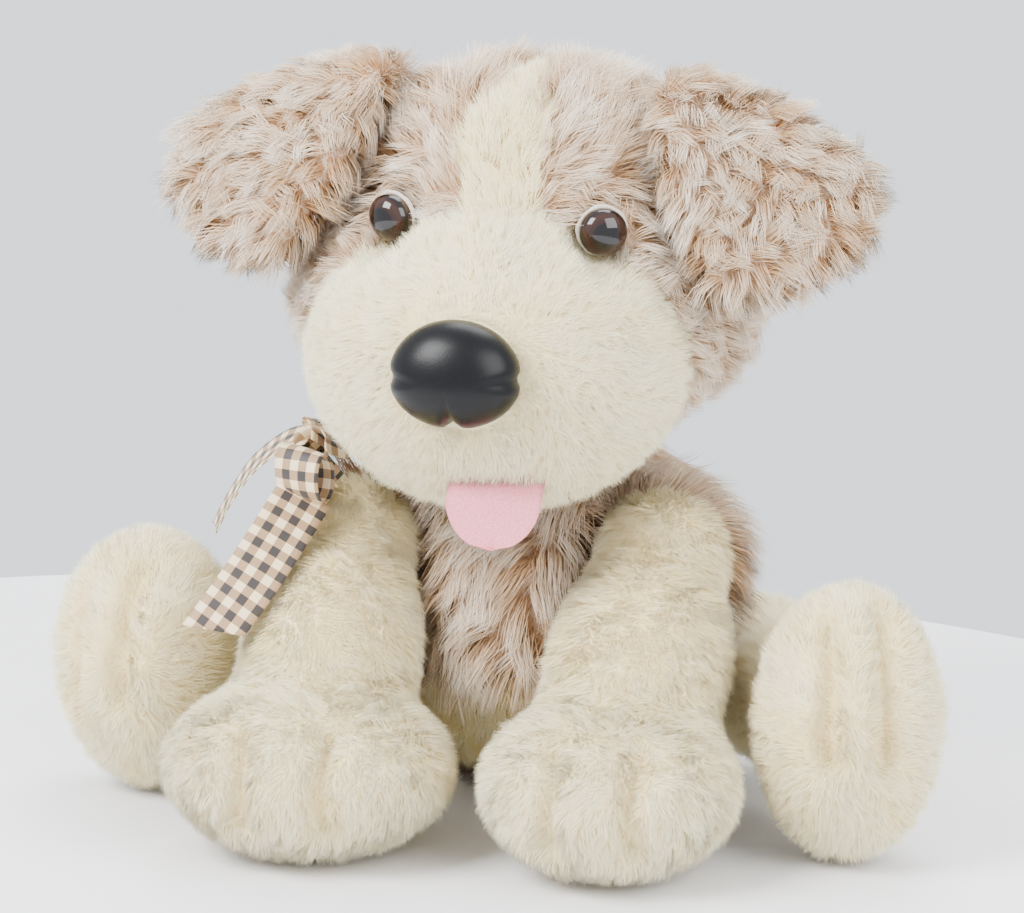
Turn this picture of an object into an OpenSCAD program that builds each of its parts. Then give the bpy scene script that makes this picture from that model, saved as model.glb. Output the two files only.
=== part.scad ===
// Sitting plush puppy with a ribbon bow, modelled as sewn and stuffed sub-parts.
// Millimetres, +Z up, the puppy faces -Y and its left side is +X.
// The origin is the centre of the flat seat that the puppy rests on.

/* [Fabric] */
// Thickness of the shaggy long-pile plush
long_pile = 12; // [8:1:16]
// Thickness of the short-pile plush
short_pile = 7; // [5:1:9]
// Clearance at each sewn joint between two moving pieces
joint_gap = 0.5; // [0.4:0.1:1]
// Thickness of one felt layer
felt = 1.6; // [1:0.1:2]

/* [Head] */
// Width of the head across the cheeks
head_w = 192; // [180:1:196]
// Depth of the head at the cheeks
head_d = 144; // [136:1:150]
// Height of the cheek bulge
cheek_h = 120; // [112:1:126]
// Width of the crown
crown_w = 156; // [148:1:162]
// Depth of the crown
crown_d = 132; // [126:1:138]
// Height of the crown bulge
crown_h = 110; // [104:1:116]
// Top of the head above the seat
head_top = 297; // [290:1:304]
// Sideways tilt of the head
head_tilt = 2.2; // [0:0.1:4]

/* [Muzzle] */
// Width of the muzzle
muzzle_w = 152; // [144:1:156]
// Depth of the muzzle
muzzle_d = 120; // [112:1:124]
// Height of the muzzle
muzzle_h = 122; // [116:1:126]
// Width of the nose
nose_w = 49; // [40:1:54]
// Height of the nose
nose_h = 42; // [34:1:46]
// Width of the tongue
tongue_w = 36; // [28:1:40]
// Length of the tongue
tongue_l = 25; // [20:1:28]

/* [Eyes] */
// Diameter of the clear eye dome
eye_d = 18; // [14:1:20]
// Distance between the eye centres
eye_spacing = 80; // [76:1:88]
// Diameter of the white felt behind each eye
eye_felt_d = 22; // [20:1:24]

/* [Torso] */
// Width of the seat
seat_w = 172; // [164:1:178]
// Depth of the seat
seat_d = 156; // [150:1:162]
// Width of the chest
chest_w = 160; // [150:1:166]

/* [Legs] */
// Width of the left front paw
left_paw_w = 104; // [98:1:106]
// Width of the right front paw, which is splayed more
right_paw_w = 118; // [110:1:120]
// Diameter of a front leg
foreleg_d = 76; // [70:1:77]
// Width of the left hind foot
left_foot_w = 77; // [72:1:80]
// Width of the right hind foot
right_foot_w = 88; // [82:1:92]
// Height of a hind foot
foot_h = 112; // [106:1:116]

/* [Bow] */
// Width of the ribbon
ribbon_w = 22; // [15:1:25]
// Thickness of the ribbon
ribbon_t = 0.8; // [0.6:0.1:1.2]

/* [Hidden] */
$fn = 48;
far = 400;
fit = 0.2;
side = [1, -1];

// The neck is a stuffed ball that both the torso and the head turn on.
neck_c = [0, 18, 150];
neck_r = 46;

// The head and all on it lean to one side about the neck: its blobs keep their own turn.
function lean(p) = let (d = p - neck_c, c = cos(head_tilt), s = sin(head_tilt))
    neck_c + [c * d[0] + s * d[2], d[1], c * d[2] - s * d[0]];

// A blob is [centre, semi-axes, turn]. A long blob's last axis is its length.
cheeks = [lean([0, -10, 203]), [cheek_h, head_d, head_w] / 2, [0, 90, 0]];
crown = [lean([0, 0, head_top - crown_h / 2]), [crown_h, crown_d, crown_w] / 2, [0, 90, 0]];
muzzle = [lean([0, -57, 185]), [muzzle_w, muzzle_d, muzzle_h] / 2, [0, 0, 0]];
seat = [[0, 24, 66], [seat_w / 2, seat_d / 2, 72], [0, 0, 0]];
chest = [[0, 16, 98], [chest_w / 2, 54, 46], [0, 0, 0]];

// Front legs: a shoulder ball, an upper leg and a paw. Index 0 is the left leg, 1 the right.
shoulder_c = [62, -34, 106];
shoulder_r = 30;
paw_c = [[56, -106, 34], [-60, -106, 34]];
paw_w = [left_paw_w, right_paw_w];

// Hind legs: a hip ball, a thigh and a foot. The left foot lies further forward.
hip_c = [88, 34, 42];
hip_r = 36;
foot_c = [[139, -70, 54], [-145, -38, 54]];
foot_w = [left_foot_w, right_foot_w];

// The ball that a tail turns on, and its brush.
tail_c = [0, 103, 46];
tail_r = 15;
tail_rise = 35;

nose_c = lean([0, -116, 186]);
nose_back = -112;
nose_skin = 1.5;
mouth = [10, -96, 145];
eye_tilt = [9, 0, 24];
eye_c = [eye_spacing / 2, -64, 236];
eye_post_l = 16;
washer_r = 7;

function on_side(i, p) = [side[i] * p[0], p[1], p[2]];

// The turn that lays a blob's last axis from a to b
function towards(a, b) = let (d = b - a)
    [0, acos(d[2] / norm(d)), atan2(d[1], d[0])];

function foreleg(i) = let (s = on_side(i, shoulder_c))
    [(s + paw_c[i]) / 2, [foreleg_d / 2, foreleg_d / 2, 58], towards(s, paw_c[i])];
function paw(i) = [paw_c[i], [paw_w[i] / 2, 52, 37], [0, 0, 0]];
function thigh(i) = let (h = on_side(i, hip_c))
    [(h + foot_c[i]) / 2, [33, 33, 58], towards(h, foot_c[i])];
function foot_turn(i) = 0.6 * towards(on_side(i, hip_c), foot_c[i])[2] + 54;
function foot(i) = [foot_c[i], [foot_w[i] / 2, 38, foot_h / 2], [0, 0, foot_turn(i)]];

// ---- Shared shapes ----

module blob(b, g = 0)
    translate(b[0]) rotate(b[2]) scale(b[1] + [g, g, g]) sphere(1);

module ball(c, r) translate(c) sphere(r);

module above(z) translate([-far, -far, z]) cube([2 * far, 2 * far, far]);

module flip(s) mirror([s < 0 ? 1 : 0, 0, 0]) children();

module leant() translate(neck_c) rotate([0, head_tilt, 0]) translate(-neck_c) children();

// ---- Torso ----

module torso_form(g) {
    intersection() {
        union() {
            blob(seat, g);
            blob(chest, g);
        }
        above(-g);
    }
}

module torso_sockets(more) {
    ball(neck_c, neck_r + more);
    for (i = [0, 1]) {
        ball(on_side(i, shoulder_c), shoulder_r + more);
        blob(foreleg(i), more);
        ball(on_side(i, hip_c), hip_r + more);
        blob(thigh(i), more);
    }
    ball(tail_c, tail_r + more);
}

module torso_fabric() {
    difference() {
        torso_form(0);
        torso_form(-long_pile);
        torso_sockets(joint_gap);
    }
}

// The pale panel between the legs and under the seat
module belly_zone(g) translate([-far, -far, -far]) cube([2 * far, far + 2 + g, far + 58 + g]);

module torso_shell() color("rosybrown")
    difference() {
        torso_fabric();
        belly_zone(fit);
    }

module belly_panel() color("cornsilk")
    intersection() {
        torso_fabric();
        belly_zone(0);
    }

pellet_bag_b = [[0, 26, 34], [40, 36, 16], [0, 0, 0]];

module torso_stuffing() color("white")
    difference() {
        torso_form(-long_pile - fit);
        torso_sockets(joint_gap);
        blob(pellet_bag_b, fit);
    }

module pellet_bag() color("lightgrey") blob(pellet_bag_b);

// Ladder stitches that close the back after stuffing
module closing_seam() {
    stitches = 7;
    pitch = 8;
    color("tan")
        for (i = [0:stitches - 1]) {
            z = 66 + i * pitch;
            drop = (z - seat[0][2]) / seat[1][2];
            y = seat[0][1] + seat[1][1] * sqrt(1 - drop * drop);
            translate([-4, y - 0.6, z]) rotate([0, 90, 0]) cylinder(r = 0.7, h = 8);
        }
}

// ---- Neck ----

module neck_shell() color("rosybrown")
    difference() {
        ball(neck_c, neck_r);
        ball(neck_c, neck_r - long_pile);
    }

module neck_stuffing() color("white") ball(neck_c, neck_r - long_pile - fit);

// ---- Head ----

module head_form(g) {
    blob(cheeks, g);
    blob(crown, g);
}

module eye_place(i) translate(lean(on_side(i, eye_c))) rotate([eye_tilt[0], 0, side[i] * eye_tilt[2]])
    rotate([90, 0, 0]) children();

// The pocket in the pile that an eye sits in, and the hole for its post
module eye_room(i) eye_place(i) {
    translate([0, 0, -felt - fit]) cylinder(r = eye_felt_d / 2 + 1, h = 30);
    translate([0, 0, -eye_post_l - 2]) cylinder(r = washer_r + fit, h = eye_post_l + 1);
}

// Leaf-shaped outline of the pale blaze, seen from the front
module blaze_outline(g)
    leant() rotate([90, 0, 0]) linear_extrude(height = far)
        polygon([
            [-18 - g, 226], [-25 - g, 252], [-15 - g, 274], [0, 284 + g],
            [12 + g, 284 + g], [17 + g, 272], [22 + g, 252], [18 + g, 226],
        ]);

module head_fabric() {
    difference() {
        head_form(0);
        head_form(-long_pile);
        ball(neck_c, neck_r + joint_gap);
        blob(muzzle, fit);
        for (i = [0, 1]) {
            eye_room(i);
            ear_roll(i, joint_gap);
        }
    }
}

module head_shell() color("rosybrown")
    difference() {
        head_fabric();
        blaze_outline(fit);
    }

module blaze_panel() color("cornsilk")
    intersection() {
        head_fabric();
        blaze_outline(0);
    }

// The same ellipsoids for the stuffing: a blob's poles lie on its last axis, which no cut may
// cross, so the head's are at the front and the back, and the muzzle's at the sides.
muzzle_core = [muzzle[0], [muzzle_h, muzzle_d, muzzle_w] / 2, [0, 90, 0]];
cheeks_core = [cheeks[0], [head_w, cheek_h, head_d] / 2, [90, 0, 0]];
crown_core = [crown[0], [crown_w, crown_h, crown_d] / 2, [90, 0, 0]];

module head_stuffing() color("white")
    difference() {
        union() {
            blob(cheeks_core, -long_pile - fit);
            blob(crown_core, -long_pile - fit);
        }
        ball(neck_c, neck_r + joint_gap);
        blob(muzzle_core, fit);
        for (i = [0, 1]) eye_room(i);
    }

// ---- Muzzle, nose and tongue ----

// The slot in the muzzle's pile that the tongue's root hangs in
module tongue_room()
    translate([mouth[0] - tongue_w / 2 - 1, mouth[1] + 1.5 - far, mouth[2] + 1.5 - far])
        cube([tongue_w + 2, far, far]);

module muzzle_fabric() {
    difference() {
        blob(muzzle);
        blob(muzzle, -short_pile);
        ball(neck_c, neck_r + joint_gap);
        tongue_room();
        for (i = [0, 1]) eye_room(i);
    }
}

module chin_zone(g) translate([-far, -far, -far])
    cube([2 * far, 2 * far, far + mouth[2] + g]);

// The pocket in the muzzle's pile that the nose is sewn into
module nose_pocket()
    translate([nose_c[0], nose_back, nose_c[2]]) rotate([90, 0, 0])
        scale([nose_w / 2 + fit, nose_h / 2 + fit, 1]) cylinder(r = 1, h = 30);

module muzzle_shell() color("cornsilk")
    difference() {
        muzzle_fabric();
        chin_zone(fit);
        nose_pocket();
    }

module chin_panel() color("cornsilk")
    intersection() {
        muzzle_fabric();
        chin_zone(0);
    }

module muzzle_stuffing() color("white")
    difference() {
        blob(muzzle_core, -short_pile - fit);
        ball(neck_c, neck_r + joint_gap);
        for (i = [0, 1]) eye_room(i);
    }

nose_b = [nose_c, [nose_w / 2, nose_h / 2, 17], [90, 0, 0]];

module before_nose_back() translate([-far, nose_back - far, 0]) cube([2 * far, far, far]);

module nose_cover() color("black")
    difference() {
        intersection() {
            blob(nose_b);
            before_nose_back();
        }
        blob(nose_b, -nose_skin);
    }

module nose_padding() color("white")
    intersection() {
        blob(nose_b, -nose_skin - fit);
        before_nose_back();
    }

// One felt layer: a tab with a half-round end
module tongue_layer(y) {
    round_z = tongue_w / 2 - tongue_l;
    translate([mouth[0], mouth[1] + y, mouth[2]]) rotate([90, 0, 0])
        linear_extrude(height = felt) intersection() {
            union() {
                translate([-tongue_w / 2, round_z]) square([tongue_w, -round_z]);
                translate([0, round_z]) circle(r = tongue_w / 2);
            }
            translate([-tongue_w, -2 * tongue_l]) square([2 * tongue_w, 2 * tongue_l]);
        }
}

module tongue_front() color("pink") tongue_layer(-felt - fit);
module tongue_back() color("pink") tongue_layer(0);

// ---- Eyes ----

module eye_felt(i) color("white")
    eye_place(i) translate([0, 0, -felt]) difference() {
        cylinder(r = eye_felt_d / 2, h = felt);
        translate([0, 0, -1]) cylinder(r = 2.2, h = felt + 2);
    }

module eye_base(i) color("saddlebrown")
    eye_place(i) {
        translate([0, 0, fit]) cylinder(r = eye_d / 2, h = 2);
        translate([0, 0, -eye_post_l]) cylinder(r = 2, h = eye_post_l + 1);
    }

module eye_pupil(i) color("black")
    eye_place(i) translate([0, 0, 2 + fit]) cylinder(r = eye_d * 0.28, h = 0.4);

module eye_dome(i) color("lightgrey", 0.4)
    eye_place(i) difference() {
        intersection() {
            translate([0, 0, 2.2]) scale([eye_d / 2, eye_d / 2, 6]) sphere(1);
            translate([-far, -far, 2 + fit]) cube([2 * far, 2 * far, far]);
        }
        cylinder(r = eye_d * 0.28 + 0.05, h = 2.7);
    }

module eye_washer(i) color("white")
    eye_place(i) translate([0, 0, 2 - eye_post_l]) difference() {
        cylinder(r = washer_r, h = 2);
        translate([0, 0, -1]) cylinder(r = 2.05, h = 4);
    }

// ---- Ears ----

// The folded flap of the left ear: [centre, radius] of the balls it is drawn round
ear_roll_r = 7;
ear_root = [[[55, 4, 286], ear_roll_r], [[55, -36, 286], ear_roll_r]];
ear_flap = [
    [[98, -20, 275], 9], [[130, -26, 256], 10], [[128, -38, 238], 10],
    [[106, -54, 222], 9], [[88, -64, 219], 8], [[64, -56, 256], 7],
];
lining_t = 4;

module ear_hull(balls, shrink = 0, shift = [0, 0, 0])
    hull() for (b = balls) translate(b[0] + shift) sphere(b[1] - shrink, $fn = 26);

// The roll that the ear turns on, which lies in a groove of the head
module ear_roll(i, g = 0) leant() flip(side[i]) {
    for (b = ear_root) ball(b[0], b[1] + g);
    translate(ear_root[0][0]) rotate([90, 0, 0])
        cylinder(r = ear_roll_r + g, h = norm(ear_root[1][0] - ear_root[0][0]));
}

module ear_outer(i) color("rosybrown") {
    difference() {
        leant() flip(side[i]) ear_hull(concat(ear_root, ear_flap));
        leant() flip(side[i]) ear_hull(ear_flap, 2 - fit, [-6, 10, -6]);
        head_form(1);
    }
    ear_roll(i);
}

// The lining lies in the hollow of the flap, on its inner side.
module ear_lining(i) color("wheat")
    difference() {
        leant() flip(side[i]) intersection() {
            ear_hull(ear_flap, 2, [-6, 10, -6]);
            ear_hull(ear_flap, 1, [-2.5, lining_t, -2.5]);
        }
        head_form(1);
    }

// ---- Front legs ----

module foreleg_upper(i, g) {
    ball(on_side(i, shoulder_c), shoulder_r + g);
    blob(foreleg(i), g);
}

module paw_form(i, g) intersection() {
    blob(paw(i), g);
    above(-g);
}

function paw_bag(i) = [paw_c[i] - [0, 0, 8], [26, 26, 14], [0, 0, 0]];

module foreleg_shell(i) color("cornsilk")
    difference() {
        foreleg_upper(i, 0);
        foreleg_upper(i, -short_pile);
        blob(paw(i), fit);
    }

module paw_shell(i) color("cornsilk")
    difference() {
        paw_form(i, 0);
        paw_form(i, -short_pile);
        foreleg_upper(i, -short_pile);
    }

module foreleg_stuffing(i) color("white")
    difference() {
        union() {
            foreleg_upper(i, -short_pile - fit);
            paw_form(i, -short_pile - fit);
        }
        blob(paw_bag(i), fit);
    }

module paw_pellets(i) color("lightgrey") blob(paw_bag(i));

// A thread pulled into the pile: an arc on a blob, x off its middle, from one rise to another
module stitch(b, x, from, to) {
    thread = 1.1;
    across = sqrt(1 - pow(x / b[1][0], 2));
    size = [b[1][1], b[1][1] * across, b[1][2] * across];
    translate(b[0]) rotate(b[2]) translate([x, 0, 0]) scale(size) rotate([0, -90, 0])
        rotate([0, 0, from - 90]) rotate_extrude(angle = to - from, $fn = 96)
            translate([1, 0]) circle(r = thread / size[0]);
}

module paw_stitches(i) color("tan")
    for (x = [-17, 19]) stitch(paw(i), x, -30, 50);

// ---- Hind legs ----

module hindleg_upper(i, g) {
    ball(on_side(i, hip_c), hip_r + g);
    blob(thigh(i), g);
}

module foot_form(i, g) intersection() {
    blob(foot(i), g);
    above(-g);
}

function foot_bag(i) = [foot_c[i] - [0, 0, 20], [20, 20, 12], [0, 0, foot_turn(i)]];

module hindleg_shell(i) color("cornsilk")
    difference() {
        hindleg_upper(i, 0);
        hindleg_upper(i, -short_pile);
        blob(foot(i), fit);
    }

module foot_shell(i) color("cornsilk")
    difference() {
        foot_form(i, 0);
        foot_form(i, -short_pile);
        hindleg_upper(i, -short_pile);
    }

module hindleg_stuffing(i) color("white")
    difference() {
        union() {
            hindleg_upper(i, -short_pile - fit);
            foot_form(i, -short_pile - fit);
        }
        blob(foot_bag(i), fit);
    }

module foot_pellets(i) color("lightgrey") blob(foot_bag(i));

module foot_stitches(i) color("tan")
    for (x = [-14, 12]) stitch(foot(i), x, -10, 60);

// ---- Tail ----

tail_brush = [tail_c + 28 * [0, cos(tail_rise), sin(tail_rise)], [14, 36, 14], [tail_rise, 0, 0]];

module tail_form(g) {
    ball(tail_c, tail_r + g);
    blob(tail_brush, g);
}

module tail_shell() color("rosybrown")
    difference() {
        tail_form(0);
        tail_form(-long_pile / 2);
    }

module tail_stuffing() color("white") tail_form(-long_pile / 2 - fit);

// ---- Ribbon ----

ring_r = 51;
ring_h = 5;
ring_tilt = 17;
knot_c = [-72, -45, 141];

// The ribbon lies scrunched round the neck, under the fur.
module neck_ribbon() color("tan")
    translate([neck_c[0], neck_c[1], 135]) rotate([ring_tilt, 0, 0]) difference() {
        cylinder(r = ring_r + 1, h = ring_h, center = true);
        cylinder(r = ring_r - 1, h = ring_h + 2, center = true);
    }

module bow_knot() color("tan") blob([knot_c, [8, 6, 8], [0, 0, 45]]);

// A ribbon band through a list of [centre, turn], as flat links between them
module ribbon_band(stations, wide)
    for (i = [0:len(stations) - 2])
        hull()
            for (j = [0, 1])
                translate(stations[i + j][0]) rotate(stations[i + j][1])
                    cube([wide, ribbon_t, 0.6], center = true);

module ribbon_loop(shift, turn, size)
    translate(knot_c + shift) rotate(turn) scale(size) difference() {
        cylinder(r = 1, h = ribbon_w, center = true);
        cylinder(r = 0.9, h = ribbon_w + 2, center = true);
    }

module bow_loop_front() color("tan") ribbon_loop([-1, -20, -0.5], [90, 0, 50], [5.5, 7.5, 0.8]);
module bow_loop_back() color("tan") ribbon_loop([-10, 20, 15], [70, 0, 20], [11, 6, 0.8]);

module bow_tail_front() color("tan")
    ribbon_band([
        [[-77, -65, 129], [-20, 36, -36]],
        [[-82, -80, 120], [-20, 36, -30]],
        [[-90, -93, 102], [-10, 36, -30]],
        [[-97, -102, 84], [0, 34, -34]],
    ], ribbon_w);

module bow_tail_back() color("tan")
    ribbon_band([
        [[-85, -43, 147], [80, 0, 0]],
        [[-96, -38, 148], [75, 0, 20]],
        [[-110, -32, 138], [60, 0, 40]],
        [[-119, -26, 122], [30, 0, 60]],
    ], ribbon_w * 0.7);

// ---- Nodes ----

torso_shell();
belly_panel();
torso_stuffing();
pellet_bag();
closing_seam();
neck_shell();
neck_stuffing();
head_shell();
blaze_panel();
head_stuffing();
muzzle_shell();
chin_panel();
muzzle_stuffing();
nose_cover();
nose_padding();
eye_felt(0);  // eye_felt_left
eye_felt(1);  // eye_felt_right
eye_base(0);  // eye_base_left
eye_base(1);  // eye_base_right
eye_pupil(0);  // eye_pupil_left
eye_pupil(1);  // eye_pupil_right
eye_dome(0);  // eye_dome_left
eye_dome(1);  // eye_dome_right
eye_washer(0);  // eye_washer_left
eye_washer(1);  // eye_washer_right
tongue_front();
tongue_back();
ear_outer(0);  // ear_outer_left
ear_outer(1);  // ear_outer_right
ear_lining(0);  // ear_lining_left
ear_lining(1);  // ear_lining_right
foreleg_shell(0);  // foreleg_shell_left
foreleg_shell(1);  // foreleg_shell_right
paw_shell(0);  // paw_shell_left
paw_shell(1);  // paw_shell_right
foreleg_stuffing(0);  // foreleg_stuffing_left
foreleg_stuffing(1);  // foreleg_stuffing_right
paw_pellets(0);  // paw_pellets_left
paw_pellets(1);  // paw_pellets_right
paw_stitches(0);  // paw_stitches_left
paw_stitches(1);  // paw_stitches_right
hindleg_shell(0);  // hindleg_shell_left
hindleg_shell(1);  // hindleg_shell_right
foot_shell(0);  // foot_shell_left
foot_shell(1);  // foot_shell_right
hindleg_stuffing(0);  // hindleg_stuffing_left
hindleg_stuffing(1);  // hindleg_stuffing_right
foot_pellets(0);  // foot_pellets_left
foot_pellets(1);  // foot_pellets_right
foot_stitches(0);  // foot_stitches_left
foot_stitches(1);  // foot_stitches_right
tail_shell();
tail_stuffing();
neck_ribbon();
bow_knot();
bow_loop_front();
bow_loop_back();
bow_tail_front();
bow_tail_back();
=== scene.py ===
"""The plush puppy's look: sewn skins from the CAD nodes, fur strands grown on them, trims."""

import math

import bpy
import numpy as np
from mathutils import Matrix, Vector
from mathutils.bvhtree import BVHTree
from mathutils.kdtree import KDTree


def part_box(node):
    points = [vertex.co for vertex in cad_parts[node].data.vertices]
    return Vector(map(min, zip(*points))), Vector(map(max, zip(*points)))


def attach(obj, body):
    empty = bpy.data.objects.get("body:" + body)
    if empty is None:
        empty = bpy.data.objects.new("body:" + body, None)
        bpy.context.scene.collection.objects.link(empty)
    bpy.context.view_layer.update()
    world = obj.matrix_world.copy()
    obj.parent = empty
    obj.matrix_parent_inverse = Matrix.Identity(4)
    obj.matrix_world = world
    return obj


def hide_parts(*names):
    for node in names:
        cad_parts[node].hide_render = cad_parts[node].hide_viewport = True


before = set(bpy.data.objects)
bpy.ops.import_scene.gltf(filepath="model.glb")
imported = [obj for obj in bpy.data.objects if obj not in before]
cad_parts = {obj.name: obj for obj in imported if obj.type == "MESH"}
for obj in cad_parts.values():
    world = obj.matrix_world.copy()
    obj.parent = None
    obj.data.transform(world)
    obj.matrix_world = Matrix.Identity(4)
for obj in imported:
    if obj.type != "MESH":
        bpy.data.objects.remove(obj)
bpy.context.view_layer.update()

MM = 0.001
SIDES = ("left", "right")
UP = np.array([0.0, 0.0, 1.0])
# How far each skin lies under the CAD's outer form, which is the outside of the pile
LONG_PILE, NECK_PILE, SHORT_PILE, EAR_PILE = 11, 10, 6, 4


# ---- Colours and materials ----


def linear(r, g, b):
    """An sRGB colour, from 0 to 255, as linear values."""
    out = []
    for c in (r, g, b):
        c /= 255.0
        out.append(c / 12.92 if c <= 0.04045 else ((c + 0.055) / 1.055) ** 2.4)
    return (*out, 1.0)


def material(name, colour, rough=0.8, **sockets):
    """A plain material; a socket's name has _ for each space."""
    m = bpy.data.materials.new(name)
    m.use_nodes = True
    p = m.node_tree.nodes["Principled BSDF"]
    p.inputs["Base Color"].default_value = colour
    p.inputs["Roughness"].default_value = rough
    for key, value in sockets.items():
        p.inputs[key.replace("_", " ")].default_value = value
    return m


def ramp(tree, factor, stops):
    """A colour output that follows a factor through (position, colour) stops."""
    node = tree.nodes.new("ShaderNodeValToRGB")
    node.color_ramp.interpolation = "EASE"
    while len(node.color_ramp.elements) < len(stops):
        node.color_ramp.elements.new(0.5)
    for e, (pos, colour) in zip(node.color_ramp.elements, stops):
        e.position = pos
        e.color = colour
    tree.links.new(factor, node.inputs["Fac"])
    return node.outputs["Color"]


def fur_material(name, dark, light):
    """Strand colour from root to tip, mixed between two ramps by each strand's own tone."""
    m = material(name, light[-1][1], 0.85)
    t = m.node_tree
    p = t.nodes["Principled BSDF"]
    p.inputs["Specular IOR Level"].default_value = 0.18
    p.inputs["Sheen Weight"].default_value = 0.08
    p.inputs["Sheen Roughness"].default_value = 0.5
    along = t.nodes.new("ShaderNodeAttribute")
    along.attribute_name = "along"
    tone = t.nodes.new("ShaderNodeAttribute")
    tone.attribute_name = "tone"
    mix = t.nodes.new("ShaderNodeMix")
    mix.data_type = "RGBA"
    t.links.new(tone.outputs["Fac"], mix.inputs["Factor"])
    t.links.new(ramp(t, along.outputs["Fac"], dark), mix.inputs[6])
    t.links.new(ramp(t, along.outputs["Fac"], light), mix.inputs[7])
    t.links.new(mix.outputs[2], p.inputs["Base Color"])
    return m


def cloth_material(name, low, high, scale, rough=0.95, bump=0.0):
    """Woven or felted cloth: a fine noise between two close colours."""
    m = material(name, high, rough)
    t = m.node_tree
    p = t.nodes["Principled BSDF"]
    at = t.nodes.new("ShaderNodeTexCoord")
    noise = t.nodes.new("ShaderNodeTexNoise")
    noise.inputs["Scale"].default_value = scale
    noise.inputs["Detail"].default_value = 4.0
    t.links.new(at.outputs["Object"], noise.inputs["Vector"])
    t.links.new(ramp(t, noise.outputs["Fac"], [(0.3, low), (0.7, high)]), p.inputs["Base Color"])
    if bump:
        node = t.nodes.new("ShaderNodeBump")
        node.inputs["Strength"].default_value = bump
        node.inputs["Distance"].default_value = 0.0004
        t.links.new(noise.outputs["Fac"], node.inputs["Height"])
        t.links.new(node.outputs["Normal"], p.inputs["Normal"])
    return m


TAUPE = fur_material(
    "taupe_fur",
    [(0.0, linear(158, 104, 56)), (0.4, linear(186, 146, 104)), (1.0, linear(214, 190, 162))],
    [(0.0, linear(190, 152, 112)), (0.4, linear(218, 194, 166)), (1.0, linear(248, 238, 224))],
)
CREAM = fur_material(
    "cream_fur",
    [(0.0, linear(255, 218, 134)), (0.5, linear(255, 230, 160)), (1.0, linear(255, 239, 184))],
    [(0.0, linear(255, 238, 190)), (0.5, linear(255, 245, 208)), (1.0, linear(255, 250, 222))],
)
TAUPE_CLOTH = cloth_material("taupe_backing", linear(186, 156, 130), linear(206, 178, 152), 900)
CREAM_CLOTH = cloth_material("cream_backing", linear(244, 226, 172), linear(250, 238, 200), 900)
FELT = cloth_material("white_felt", linear(186, 176, 160), linear(214, 205, 190), 1600, bump=0.4)
PINK = cloth_material("pink_velour", linear(216, 122, 134), linear(230, 148, 158), 1500, bump=0.5)
VINYL = cloth_material("nose_leatherette", linear(5, 5, 7), linear(9, 9, 11), 1300, 0.34, 0.1)
VINYL.node_tree.nodes["Principled BSDF"].inputs["Specular IOR Level"].default_value = 0.22
THREAD = cloth_material("thread", linear(206, 182, 130), linear(228, 208, 160), 2500)
IRIS = material("iris", linear(48, 25, 18), 0.2, Coat_Weight=0.4)
PUPIL = material("pupil", linear(6, 5, 5), 0.12)


def eye_material(name, apex):
    """The painted eye seen through its clear dome: a black pupil in a dark brown iris."""
    m = material(name, linear(40, 20, 14), 0.06)
    t = m.node_tree
    place = t.nodes.new("ShaderNodeTexCoord")
    gap = t.nodes.new("ShaderNodeVectorMath")
    gap.operation = "DISTANCE"
    t.links.new(place.outputs["Object"], gap.inputs[0])
    gap.inputs[1].default_value = apex
    scale = t.nodes.new("ShaderNodeMath")
    scale.operation = "MULTIPLY"
    t.links.new(gap.outputs["Value"], scale.inputs[0])
    scale.inputs[1].default_value = 100.0
    stops = [(0.0, linear(5, 4, 5)), (0.47, linear(8, 5, 5)), (0.56, linear(36, 18, 13)),
             (0.8, linear(48, 26, 19)), (0.98, linear(16, 9, 8))]
    t.links.new(ramp(t, scale.outputs[0], stops), t.nodes["Principled BSDF"].inputs["Base Color"])
    return m


def gingham():
    """An even check of two browns on cream, woven across and along the ribbon."""
    m = material("checked_ribbon", linear(220, 194, 150), 0.55)
    t = m.node_tree
    p = t.nodes["Principled BSDF"]
    p.inputs["Sheen Weight"].default_value = 0.2
    uv = t.nodes.new("ShaderNodeUVMap")
    uv.uv_map = "weave"
    split = t.nodes.new("ShaderNodeSeparateXYZ")
    t.links.new(uv.outputs["UV"], split.inputs[0])

    def band(socket):
        """1 on every second stripe along a texture direction."""
        wave = t.nodes.new("ShaderNodeMath")
        wave.operation = "FRACT"
        t.links.new(socket, wave.inputs[0])
        step = t.nodes.new("ShaderNodeMath")
        step.operation = "GREATER_THAN"
        t.links.new(wave.outputs[0], step.inputs[0])
        step.inputs[1].default_value = 0.5
        return step.outputs[0]

    total = t.nodes.new("ShaderNodeMath")
    total.operation = "ADD"
    t.links.new(band(split.outputs["X"]), total.inputs[0])
    t.links.new(band(split.outputs["Y"]), total.inputs[1])
    half = t.nodes.new("ShaderNodeMath")
    half.operation = "MULTIPLY"
    t.links.new(total.outputs[0], half.inputs[0])
    half.inputs[1].default_value = 0.5
    node = t.nodes.new("ShaderNodeValToRGB")
    node.color_ramp.interpolation = "CONSTANT"
    e = node.color_ramp.elements
    e[0].color = linear(234, 212, 170)
    e[1].position = 0.4
    e[1].color = linear(160, 128, 92)
    e.new(0.9).color = linear(44, 36, 32)
    t.links.new(half.outputs[0], node.inputs["Fac"])
    t.links.new(node.outputs["Color"], p.inputs["Base Color"])
    return m


RIBBON = gingham()


# ---- Meshes ----


def unit(v):
    return v / np.maximum(np.linalg.norm(v, axis=-1, keepdims=True), 1e-12)


def read(items, key, width, kind=np.float32):
    """One property of every item of a mesh, as an array with a row an item."""
    values = np.empty(len(items) * width, kind)
    items.foreach_get(key, values)
    return values.reshape(-1, width)


def points_of(mesh):
    return read(mesh.vertices, "co", 3).astype(float)


def normals_of(mesh):
    return read(mesh.vertex_normals, "vector", 3).astype(float)


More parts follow.
